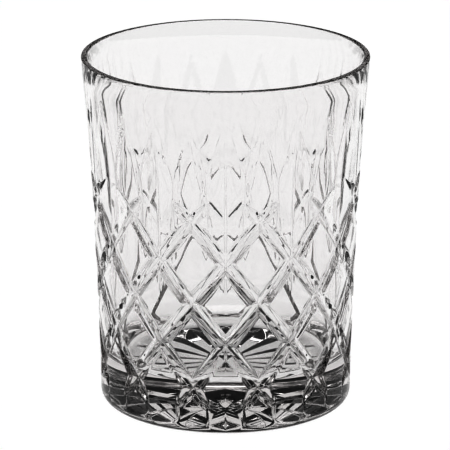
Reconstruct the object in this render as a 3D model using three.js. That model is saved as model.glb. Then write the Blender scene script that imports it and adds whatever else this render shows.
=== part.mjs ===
// A heavy cut-crystal whisky tumbler: one piece of glass, standing on its base.
// Millimetres, +Z up, the origin at the centre of the circle that it stands on.
import * as THREE from "three";

// ---- Driving dimensions ----
const HEIGHT = 98;
const BASE_RADIUS = 34.6; // of the outside, carried down to the table
const RIM_RADIUS = 39.4; // of the outside, carried up to the lip
const FLARE = 1.63; // how late the side flares: 1 is a straight cone
const LIP_WALL = 1.6; // across the lip
const LIP_EDGE = 0.4; // rounding of the lip's two edges
const FLOOR_HEIGHT = 13.6; // solid glass under the drink
const FLOOR_DISH = 0.8; // the floor's middle lies this much lower than its edge
const WELL_RADIUS = 31.2; // of the inside, carried down to the floor
const WELL_TOP_RADIUS = 37.2; // of the inside, carried up to the lip
const SHOULDER_DROP = 6; // the inside flares out to the lip over this height
const WELL_CORNER = 5.5; // fillet between the floor and the inside wall
const HEEL_RADIUS = 3.2; // fillet between the side and the foot
const FOOT_INNER_RADIUS = 29.4; // inside this the underside is hollowed
const FOOT_HOLLOW = 0.5; // height of the hollow in the middle

// ---- The cut pattern ----
const REPEATS = 12; // columns of diamonds round the glass
const ROW_HEIGHTS = [13.4, 25.8, 37.4, 49.2, 60.8]; // where the mitre cuts cross, from the lowest row up
const MITRE_DEPTH = 1.2; // of the diagonal cuts
const MITRE_STEP = 0.5; // the share of that depth that their steep edges take; a V section takes the rest
const MITRE_WALL = 0.2; // width of a steep edge, as a share of the cut's half width
const MITRE_HALF_WIDTH = 0.25; // as a share of the angle between two columns of crossings
const RUN_OUT = 0.5; // how far a mitre cut runs on past its last crossing, in rows
// The upright V cuts, one to each repeat: pairs of height and depth. They run out to a point under the lip.
const OLIVE_DEPTHS = [
  [40, 0],
  [49.2, 0.6],
  [57, 0.95],
  [68, 1.1],
  [76, 0.85],
  [84, 0.4],
  [90, 0],
];
const OLIVE_SLOPE = 0.2; // height over half width of the V section
const FLUTE_FLATNESS = 4; // 2 is a round section; more is flatter in the middle and steeper at the edges
// The tall leaf-shaped hollows, two to each repeat: height, depth, and half width as MITRE_HALF_WIDTH.
const FLUTE_SECTIONS = [
  [48, 0, 0.5],
  [58, 0.45, 0.5],
  [68, 0.5, 0.5],
  [78, 0.45, 0.32],
  [87, 0.2, 0.01],
  [88, 0, 0.01],
];

// ---- The star cut in the underside ----
const STAR_RAYS = 16;
const STAR_INNER_RADIUS = 1.2;
const STAR_OUTER_RADIUS = 29;
const STAR_DEPTH = 2.2;
const STAR_SLOPE = 0.4; // height over half width of the V section

// ---- How finely the surface is divided ----
const CELL = 4; // steps across a cell of the pattern, both ways
const SEGMENTS = 2 * REPEATS * CELL; // round the glass
const UPPER_STEPS = 7; // from the last crossing's run out to the lip
const CELL_ANGLE = Math.PI / REPEATS; // between two columns of crossings

const lerp = THREE.MathUtils.lerp;
const clamp = THREE.MathUtils.clamp;

// The outside without its cuts.
function sideRadius(z) {
  return lerp(BASE_RADIUS, RIM_RADIUS, Math.pow(z / HEIGHT, FLARE));
}

// Height on the side in rows of the pattern: a whole number at each row of crossings.
function rowAt(z) {
  const last = ROW_HEIGHTS.length - 1;
  let i = 0;
  while (i < last - 1 && z > ROW_HEIGHTS[i + 1]) i += 1;
  return i + (z - ROW_HEIGHTS[i]) / (ROW_HEIGHTS[i + 1] - ROW_HEIGHTS[i]);
}

// The height on the side of a row of the pattern: the way back from rowAt.
function heightAt(row) {
  const i = clamp(Math.floor(row), 0, ROW_HEIGHTS.length - 2);
  return lerp(ROW_HEIGHTS[i], ROW_HEIGHTS[i + 1], row - i);
}

// Distance from x to the nearest odd whole number.
function fromOdd(x) {
  return Math.abs(x - 1 - 2 * Math.round((x - 1) / 2));
}

// The value at z in a table whose rows start with a height: column 1, 2 and so on of the row.
function tableAt(table, z, column) {
  const next = table.findIndex((row) => row[0] > z);
  if (next === 0) return table[0][column];
  if (next < 0) return table[table.length - 1][column];
  const [low, high] = [table[next - 1], table[next]];
  return lerp(low[column], high[column], (z - low[0]) / (high[0] - low[0]));
}

// Depth of the diagonal mitre cuts. They run both ways through the crossings, where column + row is odd.
function mitreCut(column, row) {
  const last = ROW_HEIGHTS.length - 1;
  const past = Math.max(-row, row - last, 0); // rows past the last crossing
  const fade = clamp(1 - (past / RUN_OUT) ** 2, 0, 1);
  const off = Math.min(fromOdd(column + row), fromOdd(column - row)) / MITRE_HALF_WIDTH;
  const wall = clamp((fade - off) / MITRE_WALL, 0, 1);
  return MITRE_DEPTH * lerp(Math.max(fade - off, 0), wall, MITRE_STEP);
}

// Depth of the upright olive cuts. Their sides keep one slope, so they are as wide as they are deep.
function oliveCut(column, z) {
  const off = fromOdd(column + 1) * CELL_ANGLE * sideRadius(z);
  return Math.max(tableAt(OLIVE_DEPTHS, z, 1) - OLIVE_SLOPE * off, 0);
}

// Depth of the tall shallow hollows, over the even columns and over the odd ones.
function fluteCut(column, z) {
  const off = Math.min(fromOdd(column + 1), fromOdd(column)) / tableAt(FLUTE_SECTIONS, z, 2);
  return Math.max(tableAt(FLUTE_SECTIONS, z, 1) * (1 - off ** FLUTE_FLATNESS), 0);
}

function sideCut(angle, z) {
  const column = angle / CELL_ANGLE;
  return Math.max(mitreCut(column, rowAt(z)), oliveCut(column, z), fluteCut(column, z));
}

// Whether the nearest mitre cut climbs the same way as the angle grows.
function mitreClimbs(angle, z) {
  const column = angle / CELL_ANGLE;
  return fromOdd(column - rowAt(z)) < fromOdd(column + rowAt(z));
}

// Depth of the star cut: each ray is a V cut that is deepest half way along.
function starCut(angle, radius) {
  const spacing = (2 * Math.PI) / STAR_RAYS;
  const off = angle - spacing * Math.round(angle / spacing);
  const half = (STAR_OUTER_RADIUS - STAR_INNER_RADIUS) / 2;
  const along = (radius * Math.cos(off) - STAR_INNER_RADIUS) / half - 1;
  const depth = STAR_DEPTH * (1 - along * along) - STAR_SLOPE * Math.abs(radius * Math.sin(off));
  return Math.max(depth, 0);
}

// ---- The profile ----
// Rows of the surface run from the middle of the underside round to the middle of the floor.
// Each row's at gives a point's radius and height at an angle round the glass, with the cuts taken off.
function underside() {
  const radii = [1.2, 4, 9, 15.7, 22, 26, STAR_OUTER_RADIUS, FOOT_INNER_RADIUS];
  return radii.map((r) => ({
    at: (angle) => {
      const hollow = FOOT_HOLLOW * (1 - (r / FOOT_INNER_RADIUS) ** 2);
      return [r, hollow + starCut(angle, r)];
    },
  }));
}

function heel() {
  const steps = 4;
  const centre = sideRadius(HEEL_RADIUS) - HEEL_RADIUS;
  return Array.from({ length: steps + 1 }, (_, i) => {
    const turn = ((i / steps) * Math.PI) / 2;
    const r = centre + HEEL_RADIUS * Math.sin(turn);
    const z = HEEL_RADIUS * (1 - Math.cos(turn));
    return { at: () => [r, z] };
  });
}

function side() {
  const last = ROW_HEIGHTS.length - 1;
  const heights = [];
  for (let step = -RUN_OUT * CELL; step <= (last + RUN_OUT) * CELL; step += 1) {
    heights.push(heightAt(step / CELL));
  }
  for (let step = 1; step <= UPPER_STEPS; step += 1) {
    heights.push(lerp(heightAt(last + RUN_OUT), HEIGHT - LIP_EDGE, step / (UPPER_STEPS + 1)));
  }
  return heights.map((z) => ({
    z,
    at: (angle) => [sideRadius(z) - sideCut(angle, z), z],
  }));
}

function lip() {
  const outer = RIM_RADIUS - LIP_EDGE;
  const inner = RIM_RADIUS - LIP_WALL + LIP_EDGE;
  const eighth = Math.PI / 4;
  const points = [
    [outer, 0],
    [outer, eighth],
    [outer, 2 * eighth],
    [inner, 2 * eighth],
    [inner, 3 * eighth],
    [inner, 4 * eighth],
  ];
  return points.map(([centre, turn]) => {
    const r = centre + LIP_EDGE * Math.cos(turn);
    const z = HEIGHT - LIP_EDGE + LIP_EDGE * Math.sin(turn);
    return { at: () => [r, z] };
  });
}

function inside() {
  const rows = [];
  const top = HEIGHT - LIP_EDGE;
  const low = FLOOR_HEIGHT + WELL_CORNER;
  const flare = RIM_RADIUS - LIP_WALL - WELL_TOP_RADIUS;
  const wallDrops = [1.5, 3, 4.5, SHOULDER_DROP, 32, 56, top - low]; // below the lip
  for (const drop of wallDrops) {
    const straight = lerp(WELL_TOP_RADIUS, WELL_RADIUS, drop / (top - low));
    const ease = Math.min(drop / SHOULDER_DROP, 1);
    rows.push([straight + flare * (1 - ease) ** 2, top - drop]);
  }
  const cornerSteps = 4;
  for (let i = 1; i <= cornerSteps; i += 1) {
    const turn = ((i / cornerSteps) * Math.PI) / 2;
    rows.push([
      WELL_RADIUS - WELL_CORNER * (1 - Math.cos(turn)),
      low - WELL_CORNER * Math.sin(turn),
    ]);
  }
  const edge = WELL_RADIUS - WELL_CORNER;
  for (const share of [0.75, 0.5, 0.25]) {
    rows.push([edge * share, FLOOR_HEIGHT - FLOOR_DISH * (1 - share * share)]);
  }
  return rows.map(([r, z]) => ({ at: () => [r, z] }));
}

// ---- The closed surface ----
function tumblerGeometry() {
  const rows = [...underside(), ...heel(), ...side(), ...lip(), ...inside()];
  const positions = [];
  for (const row of rows) {
    for (let s = 0; s < SEGMENTS; s += 1) {
      const angle = (s / SEGMENTS) * 2 * Math.PI;
      const [r, z] = row.at(angle);
      positions.push(r * Math.sin(angle), -r * Math.cos(angle), z);
    }
  }
  const undersideMiddle = positions.length / 3;
  positions.push(0, 0, FOOT_HOLLOW);
  const floorMiddle = undersideMiddle + 1;
  positions.push(0, 0, FLOOR_HEIGHT - FLOOR_DISH);

  const index = [];
  const point = (row, s) => row * SEGMENTS + (s % SEGMENTS);
  for (let row = 0; row + 1 < rows.length; row += 1) {
    for (let s = 0; s < SEGMENTS; s += 1) {
      const a = point(row, s);
      const b = point(row, s + 1);
      const c = point(row + 1, s + 1);
      const d = point(row + 1, s);
      const middle = ((s + 0.5) / SEGMENTS) * 2 * Math.PI;
      // The edge across a face of the cut band runs along the nearest cut.
      const [low, high] = [rows[row].z, rows[row + 1].z];
      const climbs = low && high && mitreClimbs(middle, (low + high) / 2);
      if (climbs) index.push(a, b, c, a, c, d);
      else index.push(a, b, d, b, c, d);
    }
  }
  for (let s = 0; s < SEGMENTS; s += 1) {
    index.push(undersideMiddle, point(0, s + 1), point(0, s));
    index.push(floorMiddle, point(rows.length - 1, s), point(rows.length - 1, s + 1));
  }
  const geometry = new THREE.BufferGeometry();
  geometry.setAttribute("position", new THREE.Float32BufferAttribute(positions, 3));
  geometry.setIndex(index);
  geometry.computeVertexNormals();
  return geometry;
}

const crystal = new THREE.MeshStandardMaterial({
  color: 0xf2f5f6,
  roughness: 0.02,
  metalness: 0,
  transparent: true,
  opacity: 0.35,
});

const tumbler = new THREE.Mesh(tumblerGeometry(), crystal);
tumbler.name = "tumbler";

const part = new THREE.Group();
part.add(tumbler);
export default part;
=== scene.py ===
"""A heavy cut-crystal whisky tumbler on a pale table, for Blender 4.5."""

import math

import bpy
import numpy as np
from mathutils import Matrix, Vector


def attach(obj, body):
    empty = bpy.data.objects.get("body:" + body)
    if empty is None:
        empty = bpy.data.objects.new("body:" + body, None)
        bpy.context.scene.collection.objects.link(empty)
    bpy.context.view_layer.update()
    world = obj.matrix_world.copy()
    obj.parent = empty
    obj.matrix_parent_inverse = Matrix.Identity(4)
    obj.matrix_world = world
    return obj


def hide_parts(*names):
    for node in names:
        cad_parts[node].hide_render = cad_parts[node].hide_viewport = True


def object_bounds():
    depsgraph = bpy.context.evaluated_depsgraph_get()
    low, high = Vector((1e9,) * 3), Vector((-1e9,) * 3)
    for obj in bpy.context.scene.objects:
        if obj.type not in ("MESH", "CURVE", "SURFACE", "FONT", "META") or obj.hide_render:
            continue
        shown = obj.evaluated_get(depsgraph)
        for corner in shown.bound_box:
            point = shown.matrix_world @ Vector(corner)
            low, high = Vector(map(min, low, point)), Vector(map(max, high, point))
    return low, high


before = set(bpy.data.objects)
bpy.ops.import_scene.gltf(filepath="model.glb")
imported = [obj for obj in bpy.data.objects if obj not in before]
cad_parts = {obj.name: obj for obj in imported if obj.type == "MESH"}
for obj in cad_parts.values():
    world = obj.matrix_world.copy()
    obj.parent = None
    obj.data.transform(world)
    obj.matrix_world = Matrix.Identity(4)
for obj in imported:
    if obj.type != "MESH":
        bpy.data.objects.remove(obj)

cad_low, cad_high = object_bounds()
MM = 0.001

# ---- Sizes of the glass, in millimetres ----
HEIGHT = (cad_high[2] - cad_low[2]) / MM
BASE_RADIUS = 34.6  # of the outside, carried down to the table
RIM_RADIUS = 39.4  # of the outside, carried up to the lip
FLARE = 1.63  # how late the side flares: 1 is a straight cone
LIP_WALL = 1.6  # across the lip
LIP_EDGE = 0.4  # rounding of the lip's two edges
FLOOR_HEIGHT = 13.6  # solid glass under the drink
FLOOR_DISH = 0.8  # the floor's middle lies this much lower than its edge
WELL_RADIUS = 31.2  # of the inside, at the top of its corner
WELL_TOP_RADIUS = 37.2  # of the inside, carried up to the lip
SHOULDER_DROP = 6.0  # the inside flares out to the lip over this height
WELL_CORNER = 5.5  # fillet between the floor and the inside wall
HEEL_RADIUS = 3.2  # fillet between the side and the foot
FOOT_INNER_RADIUS = 29.4  # inside this the underside is hollowed
FOOT_HOLLOW = 0.5  # height of the hollow in the middle

# ---- The cut pattern ----
REPEATS = 12
ROW_HEIGHTS = [13.4, 25.8, 37.4, 49.2, 60.8]  # where the diagonal mitre cuts cross
MITRE_DEPTH = 1.2
MITRE_HALF_WIDTH = 0.25  # as a share of the angle between two columns of crossings
MITRE_STEP = 0.5  # share of the depth in the steep edges; a V section takes the rest
MITRE_WALL = 0.2  # width of a steep edge, as a share of the half width
RUN_OUT = 0.5  # how far a mitre cut runs on past its last crossing, in rows
# The upright V cuts, one to each repeat.
OLIVE_HEIGHTS = [40.0, 49.2, 57.0, 68.0, 76.0, 84.0, 90.0]
OLIVE_DEPTHS = [0.0, 0.6, 0.95, 1.1, 0.85, 0.4, 0.0]
OLIVE_SLOPE = 0.2  # height over half width of the V section
# The tall leaf-shaped hollows, two to each repeat. Widths are halves, as MITRE_HALF_WIDTH.
FLUTE_HEIGHTS = [48.0, 58.0, 68.0, 78.0, 87.0, 88.0]
FLUTE_DEPTHS = [0.0, 0.45, 0.5, 0.45, 0.2, 0.0]
FLUTE_WIDTHS = [0.5, 0.5, 0.5, 0.32, 0.01, 0.01]
FLUTE_FLATNESS = 4  # 2 is a round section; more is flatter, with steeper edges

# ---- The star cut in the underside ----
STAR_RAYS = 16
STAR_INNER_RADIUS = 1.2
STAR_OUTER_RADIUS = 29.0
STAR_DEPTH = 2.2
STAR_SLOPE = 0.4  # height over half width of the V section

# ---- The crystal ----
GLASS_TINT = (0.962, 0.958, 0.958, 1)
GLASS_IOR = 1.53
RIPPLE_SCALE = 45.0  # of the slight waves that polishing leaves, about 2 cm apart
RIPPLE_STRENGTH = 0.5
RIPPLE_HEIGHT = 0.0002
POLISH = (0.0, 0.02)  # roughness on the best and the worst polished patches
SMOKE_TINT = (0.10, 0.04, 0.02, 1)
SMOKE_DENSITY = 4.0

# ---- Light ----
FLOOR_HALF_WIDTH = 6
FLOOR_GAP = 0.00005  # below the foot, so that the two faces don't meet
FLOOR_GLOW = 1.0
FLOOR_ALBEDO = 0.01
# Painted shade: inside these radii the floor's glow drops to SHADE_LEVEL, a darker disc under the foot
SHADE_INNER = 0.030
SHADE_OUTER = 0.033
SHADE_LEVEL = 0.9
# Brightness of the room against the sine of the height above the horizon.
SKY = [(0.0, 0.004), (0.84, 0.004), (0.90, 2.5), (1.0, 2.5)]
GAMMA = 0.5  # the deep blacks of a catalogue print

# ---- Camera ----
CAMERA_PLACE = (0, -1.126, 0.3924)
CAMERA_TILT = 73.06  # degrees up from straight down
CAMERA_LENS = 341.7
CAMERA_SENSOR = 36
CAMERA_SHIFT = -0.0013

# ---- How finely the surface is divided ----
UNDERSIDE_RINGS = 36
HEEL_RINGS = 11
UPPER_RINGS = 40
LIP_RINGS = 6
SHOULDER_RINGS = 9
WALL_RINGS = 14
CORNER_RINGS = 11
FLOOR_RINGS = 8
CELL = 18  # steps across a cell of the pattern, both ways
SEGMENTS = 2 * REPEATS * CELL
CELL_ANGLE = math.pi / REPEATS
ROWS = len(ROW_HEIGHTS) - 1


def side_radius(z):
    """The outside without its cuts."""
    return BASE_RADIUS + (RIM_RADIUS - BASE_RADIUS) * np.power(np.maximum(z, 0) / HEIGHT, FLARE)


def height_at(row):
    """Height on the side of a row of the pattern, run on in a straight line past both ends."""
    i = int(min(max(math.floor(row), 0), ROWS - 1))
    return ROW_HEIGHTS[i] + (ROW_HEIGHTS[i + 1] - ROW_HEIGHTS[i]) * (row - i)


def row_at(z):
    """The way back from height_at: a whole number at each row of crossings."""
    i = int(min(max(np.searchsorted(ROW_HEIGHTS, z, side="right") - 1, 0), ROWS - 1))
    return i + (z - ROW_HEIGHTS[i]) / (ROW_HEIGHTS[i + 1] - ROW_HEIGHTS[i])


def from_odd(x):
    """Distance to the nearest odd whole number."""
    return np.abs(x - 1 - 2 * np.round((x - 1) / 2))


def mitre_cut(column, row):
    """Depth of the diagonal cuts, which run both ways through the crossings, where column + row is odd."""
    past = max(-row, row - ROWS, 0)
    fade = min(max(1 - (past / RUN_OUT) ** 2, 0), 1)
    off = np.minimum(from_odd(column + row), from_odd(column - row)) / MITRE_HALF_WIDTH
    wall = np.clip((fade - off) / MITRE_WALL, 0, 1)
    return MITRE_DEPTH * (MITRE_STEP * wall + (1 - MITRE_STEP) * np.maximum(fade - off, 0))


def olive_cut(column, z):
    """Depth of the upright cuts. Their sides keep one slope, so they are as wide as they are deep."""
    depth = np.interp(z, OLIVE_HEIGHTS, OLIVE_DEPTHS, left=0, right=0)
    off = from_odd(column + 1) * CELL_ANGLE * side_radius(z)
    return np.maximum(depth - OLIVE_SLOPE * off, 0)


def flute_cut(column, z):
    """Depth of the tall shallow hollows, over the even columns and over the odd ones."""
    depth = np.interp(z, FLUTE_HEIGHTS, FLUTE_DEPTHS, left=0, right=0)
    width = np.interp(z, FLUTE_HEIGHTS, FLUTE_WIDTHS)
    off = np.minimum(from_odd(column + 1), from_odd(column)) / width
    return np.maximum(depth * (1 - off**FLUTE_FLATNESS), 0)


def side_cut(angle, z):
    column = angle / CELL_ANGLE
    cut = np.maximum(mitre_cut(column, row_at(z)), olive_cut(column, z))
    return np.maximum(cut, flute_cut(column, z))


def star_cut(angle, radius):
    """Depth of the star: each ray is a V cut that is deepest half way along."""
    spacing = 2 * math.pi / STAR_RAYS
    off = angle - spacing * np.round(angle / spacing)
    half = (STAR_OUTER_RADIUS - STAR_INNER_RADIUS) / 2
    along = (radius * np.cos(off) - STAR_INNER_RADIUS) / half - 1
    depth = STAR_DEPTH * (1 - along * along) - STAR_SLOPE * np.abs(radius * np.sin(off))
    return np.maximum(depth, 0)


def underside_rings(angle):
    rings = []
    for r in np.concatenate([np.linspace(1.0, STAR_OUTER_RADIUS, UNDERSIDE_RINGS), [FOOT_INNER_RADIUS]]):
        hollow = FOOT_HOLLOW * (1 - (r / FOOT_INNER_RADIUS) ** 2)
        rings.append((r, hollow + star_cut(angle, r), None))
    return rings


def heel_rings():
    rings = []
    centre = side_radius(HEEL_RADIUS) - HEEL_RADIUS
    for turn in np.linspace(0, math.pi / 2, HEEL_RINGS):
        r = centre + HEEL_RADIUS * math.sin(turn)
        rings.append((r, HEEL_RADIUS * (1 - math.cos(turn)), None))
    return rings


def side_rings(angle):
    rings = []
    for row in np.arange(-RUN_OUT * CELL, (ROWS + RUN_OUT) * CELL + 0.5) / CELL:
        z = height_at(row)
        rings.append((side_radius(z) - side_cut(angle, z), z, row))
    for z in np.linspace(height_at(ROWS + RUN_OUT), HEIGHT - LIP_EDGE, UPPER_RINGS)[1:-1]:
        rings.append((side_radius(z) - side_cut(angle, z), z, None))
    return rings


def lip_rings():
    rings = []
    outer = RIM_RADIUS - LIP_EDGE
    inner = RIM_RADIUS - LIP_WALL + LIP_EDGE
    for centre, start in ((outer, 0), (inner, math.pi / 2)):
        for turn in np.linspace(start, start + math.pi / 2, LIP_RINGS):
            z = HEIGHT - LIP_EDGE + LIP_EDGE * math.sin(turn)
            rings.append((centre + LIP_EDGE * math.cos(turn), z, None))
    return rings


def inside_rings():
    rings = []
    top = HEIGHT - LIP_EDGE
    shoulder = top - SHOULDER_DROP
    low = FLOOR_HEIGHT + WELL_CORNER
    flare = RIM_RADIUS - LIP_WALL - WELL_TOP_RADIUS
    down_shoulder = np.linspace(top, shoulder, SHOULDER_RINGS)[1:]
    down_wall = np.linspace(shoulder, low, WALL_RINGS)[1:]
    for z in np.concatenate([down_shoulder, down_wall]):
        straight = WELL_RADIUS + (WELL_TOP_RADIUS - WELL_RADIUS) * (z - low) / (top - low)
        ease = min((top - z) / SHOULDER_DROP, 1)
        rings.append((straight + flare * (1 - ease) ** 2, z, None))
    for turn in np.linspace(0, math.pi / 2, CORNER_RINGS)[1:]:
        r = WELL_RADIUS - WELL_CORNER * (1 - math.cos(turn))
        rings.append((r, low - WELL_CORNER * math.sin(turn), None))
    for share in np.linspace(1, 0, FLOOR_RINGS)[1:-1]:
        r = (WELL_RADIUS - WELL_CORNER) * share
        rings.append((r, FLOOR_HEIGHT - FLOOR_DISH * (1 - share * share), None))
    return rings


def tumbler_rings(angle):
    """The surface as rings from the middle of the underside round to the middle of the floor.

    A ring is its radius and height, at each angle or all round, and its row of the pattern or None.
    """
    return underside_rings(angle) + heel_rings() + side_rings(angle) + lip_rings() + inside_rings()


def ring_faces(low, rings):
    """Triangles between a ring and the next.

    Across a face of the lattice, the edge runs along the nearest cut.
    """
    s = np.arange(SEGMENTS)
    a = low * SEGMENTS + s
    b = low * SEGMENTS + (s + 1) % SEGMENTS
    c, d = b + SEGMENTS, a + SEGMENTS
    climbs = np.zeros(SEGMENTS, bool)
    if rings[low][2] is not None and rings[low + 1][2] is not None:
        row = (rings[low][2] + rings[low + 1][2]) / 2
        column = (s + 0.5) / CELL
        climbs = from_odd(column - row) < from_odd(column + row)
    climbs = climbs[:, None]
    first = np.where(climbs, np.stack([a, b, c], 1), np.stack([a, b, d], 1))
    second = np.where(climbs, np.stack([a, c, d], 1), np.stack([b, c, d], 1))
    return [first, second]


def tumbler_mesh():
    angle = np.arange(SEGMENTS) / SEGMENTS * 2 * math.pi
    rings = tumbler_rings(angle)
    points = []
    for r, z, _ in rings:
        points.append(np.stack([r * np.sin(angle), -r * np.cos(angle), z + 0 * angle], axis=1))
    points.append(np.array([[0, 0, FOOT_HOLLOW], [0, 0, FLOOR_HEIGHT - FLOOR_DISH]]))
    points = np.concatenate(points) * MM
    faces = []
    for low in range(len(rings) - 1):
        faces += ring_faces(low, rings)
    s = np.arange(SEGMENTS)
    t = (s + 1) % SEGMENTS
    last = (len(rings) - 1) * SEGMENTS
    underside_middle = len(rings) * SEGMENTS
    floor_middle = underside_middle + 1
    faces.append(np.stack([np.full(SEGMENTS, underside_middle), t, s], 1))
    faces.append(np.stack([np.full(SEGMENTS, floor_middle), last + s, last + t], 1))
    mesh = bpy.data.meshes.new("tumbler_glass")
    mesh.from_pydata(points.tolist(), [], np.concatenate(faces).tolist())
    mesh.validate()
    mesh.shade_smooth()
    return mesh


def crystal():
    """Clear glass, slightly smoky where it is thick.

    It has the faint waves and the unevenly bright patches of hand polishing.
    """
    material = bpy.data.materials.new("crystal")
    material.use_nodes = True
    tree = material.node_tree
    shader = tree.nodes["Principled BSDF"]
    shader.inputs["Base Color"].default_value = GLASS_TINT
    shader.inputs["IOR"].default_value = GLASS_IOR
    shader.inputs["Transmission Weight"].default_value = 1.0
    where = tree.nodes.new("ShaderNodeTexCoord")
    ripple = tree.nodes.new("ShaderNodeTexNoise")
    ripple.inputs["Scale"].default_value = RIPPLE_SCALE
    ripple.inputs["Detail"].default_value = 2.0
    bump = tree.nodes.new("ShaderNodeBump")
    bump.inputs["Strength"].default_value = RIPPLE_STRENGTH
    bump.inputs["Distance"].default_value = RIPPLE_HEIGHT
    polish = tree.nodes.new("ShaderNodeMapRange")
    polish.inputs["To Min"].default_value = POLISH[0]
    polish.inputs["To Max"].default_value = POLISH[1]
    smoke = tree.nodes.new("ShaderNodeVolumeAbsorption")
    smoke.inputs["Color"].default_value = SMOKE_TINT
    smoke.inputs["Density"].default_value = SMOKE_DENSITY
    tree.links.new(where.outputs["Object"], ripple.inputs["Vector"])
    tree.links.new(ripple.outputs["Fac"], bump.inputs["Height"])
    tree.links.new(ripple.outputs["Fac"], polish.inputs["Value"])
    tree.links.new(polish.outputs["Result"], shader.inputs["Roughness"])
    tree.links.new(bump.outputs["Normal"], shader.inputs["Normal"])
    tree.links.new(smoke.outputs["Volume"], tree.nodes["Material Output"].inputs["Volume"])
    return material


def paper():
    """The floor glows a little, as a light table does, with a painted shade under the foot: its glow drops
    there, as if the glass shaded it.
    """
    material = bpy.data.materials.new("paper")
    material.use_nodes = True
    tree = material.node_tree
    shader = tree.nodes["Principled BSDF"]
    shader.inputs["Roughness"].default_value = 0.9
    shader.inputs["Specular IOR Level"].default_value = 0.0
    shader.inputs["Base Color"].default_value = (FLOOR_ALBEDO, FLOOR_ALBEDO, FLOOR_ALBEDO, 1)
    shader.inputs["Emission Strength"].default_value = FLOOR_GLOW
    position = tree.nodes.new("ShaderNodeNewGeometry")
    flatten = tree.nodes.new("ShaderNodeVectorMath")
    flatten.operation = "MULTIPLY"
    flatten.inputs[1].default_value = (1, 1, 0)
    distance = tree.nodes.new("ShaderNodeVectorMath")
    distance.operation = "LENGTH"
    # painted shade: a darker disc in the floor's glow under the foot, fading out between SHADE_INNER and
    # SHADE_OUTER
    glow = tree.nodes.new("ShaderNodeMapRange")
    glow.inputs["From Min"].default_value = SHADE_INNER
    glow.inputs["From Max"].default_value = SHADE_OUTER
    glow.inputs["To Min"].default_value = SHADE_LEVEL
    glow.inputs["To Max"].default_value = 1.0
    painted_shade_colour = tree.nodes.new("ShaderNodeCombineColor")
    tree.links.new(position.outputs["Position"], flatten.inputs[0])
    tree.links.new(flatten.outputs["Vector"], distance.inputs[0])
    tree.links.new(distance.outputs["Value"], glow.inputs["Value"])
    for channel in ("Red", "Green", "Blue"):
        tree.links.new(glow.outputs["Result"], painted_shade_colour.inputs[channel])
    tree.links.new(painted_shade_colour.outputs["Color"], shader.inputs["Emission Color"])
    return material


def add_floor():
    w = FLOOR_HALF_WIDTH
    mesh = bpy.data.meshes.new("floor")
    mesh.from_pydata([(-w, -w, 0), (w, -w, 0), (w, w, 0), (-w, w, 0)], [], [(0, 1, 2, 3)])
    mesh.materials.append(paper())
    floor = bpy.data.objects.new("floor", mesh)
    floor.location.z = cad_low[2] - FLOOR_GAP
    bpy.context.collection.objects.link(floor)


def add_studio():
    """A dark studio with one soft light overhead, as a gradient of the world with height."""
    world = bpy.data.worlds.new("studio")
    bpy.context.scene.world = world
    world.use_nodes = True
    tree = world.node_tree
    coords = tree.nodes.new("ShaderNodeTexCoord")
    split = tree.nodes.new("ShaderNodeSeparateXYZ")
    ramp = tree.nodes.new("ShaderNodeValToRGB")
    tree.links.new(coords.outputs["Generated"], split.inputs["Vector"])
    tree.links.new(split.outputs["Z"], ramp.inputs["Fac"])
    tree.links.new(ramp.outputs["Color"], tree.nodes["Background"].inputs["Color"])
    elements = ramp.color_ramp.elements
    for element, (position, level) in zip(elements, (SKY[0], SKY[-1])):
        element.position = position
        element.color = (level, level, level, 1)
    for position, level in SKY[1:-1]:
        elements.new(position).color = (level, level, level, 1)


def add_camera():
    data = bpy.data.cameras.new("camera")
    data.sensor_width = CAMERA_SENSOR
    data.lens = CAMERA_LENS
    data.shift_x = CAMERA_SHIFT
    camera = bpy.data.objects.new("camera", data)
    camera.location = CAMERA_PLACE
    camera.rotation_euler = (math.radians(CAMERA_TILT), 0, 0)
    bpy.context.collection.objects.link(camera)
    bpy.context.scene.camera = camera


glass = bpy.data.objects.new("tumbler_glass", tumbler_mesh())
glass.data.materials.append(crystal())
bpy.context.collection.objects.link(glass)
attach(glass, "root")
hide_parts("tumbler")

add_floor()
add_studio()
add_camera()

# A ray crosses the glass many times before it leaves the base.
scene = bpy.context.scene
scene.view_settings.view_transform = "Standard"
scene.view_settings.gamma = GAMMA
scene.cycles.max_bounces = 24
scene.cycles.transmission_bounces = 24
scene.cycles.glossy_bounces = 12
scene.cycles.diffuse_bounces = 3
scene.cycles.use_denoising = True
